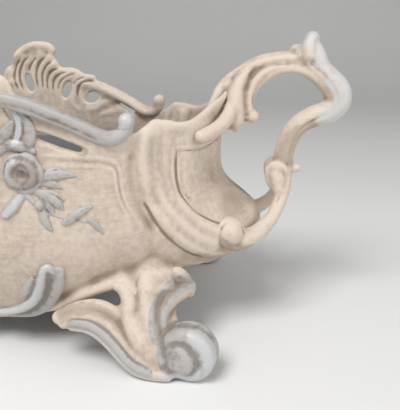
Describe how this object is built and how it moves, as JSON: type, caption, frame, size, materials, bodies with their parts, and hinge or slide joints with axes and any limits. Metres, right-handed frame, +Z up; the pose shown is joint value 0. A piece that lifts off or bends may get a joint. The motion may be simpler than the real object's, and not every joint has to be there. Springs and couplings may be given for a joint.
{
  "type": "jardiniere",
  "caption": "Oblong footed table jardiniere with pierced crests, scrolled loop handles, scroll feet and a lift-out liner.",
  "frame": {"origin": "on the table under the middle of the footprint", "axes": "+X along the length towards the right-hand handle, -Y the front, +Z up"},
  "size_m": [0.4998, 0.2212, 0.2139],
  "materials": {
    "cream_paint": "matt chalky cream paint with a brown glaze in the hollows",
    "grey_paint": "satin silvery blue-grey paint, brushed by hand",
    "steel": "plain sheet and screws, dull",
    "zinc_sheet": "dull grey zinc sheet",
    "steel_wire": "galvanised wire"
  },
  "bodies": {
    "casing": {"floor_plate": "steel", "foot_nuts": "steel", "foot_screws": "steel", "front_crest": "cream_paint", "front_left_apron_scroll": "grey_paint", "front_left_corner_rib": "cream_paint", "front_left_foot": "cream_paint", "front_left_leaf_spray": "grey_paint", "front_left_rim_scroll": "grey_paint", "front_left_rose": "grey_paint", "front_panel": "cream_paint", "front_right_apron_scroll": "grey_paint", "front_right_corner_rib": "cream_paint", "front_right_foot": "cream_paint", "front_right_leaf_spray": "grey_paint", "front_right_rim_scroll": "grey_paint", "front_right_rose": "grey_paint", "left_end_panel": "cream_paint", "left_handle": "cream_paint", "left_handle_screws": "steel", "rear_crest": "cream_paint", "rear_left_apron_scroll": "grey_paint", "rear_left_corner_rib": "cream_paint", "rear_left_foot": "cream_paint", "rear_left_leaf_spray": "grey_paint", "rear_left_rim_scroll": "grey_paint", "rear_left_rose": "grey_paint", "rear_panel": "cream_paint", "rear_right_apron_scroll": "grey_paint", "rear_right_corner_rib": "cream_paint", "rear_right_foot": "cream_paint", "rear_right_leaf_spray": "grey_paint", "rear_right_rim_scroll": "grey_paint", "rear_right_rose": "grey_paint", "right_end_panel": "cream_paint", "right_handle": "cream_paint", "right_handle_screws": "steel"},
    "liner": {"liner": "zinc_sheet"},
    "right_bail": {"right_bail": "steel_wire"},
    "left_bail": {"left_bail": "steel_wire"}
  },
  "joints": [
    {"name": "liner_lift", "type": "slide", "parent": "casing", "child": "liner", "axis": [0, 0, 1], "range_m": [0, 0.16]},
    {"name": "right_bail_hinge", "type": "hinge", "parent": "liner", "child": "right_bail", "pos_m": [0.133, 0, 0.118], "axis": [0, 1, 0], "range_deg": [0, 178]},
    {"name": "left_bail_hinge", "type": "hinge", "parent": "liner", "child": "left_bail", "pos_m": [-0.133, 0, 0.118], "axis": [0, -1, 0], "range_deg": [0, 178]}
  ]
}
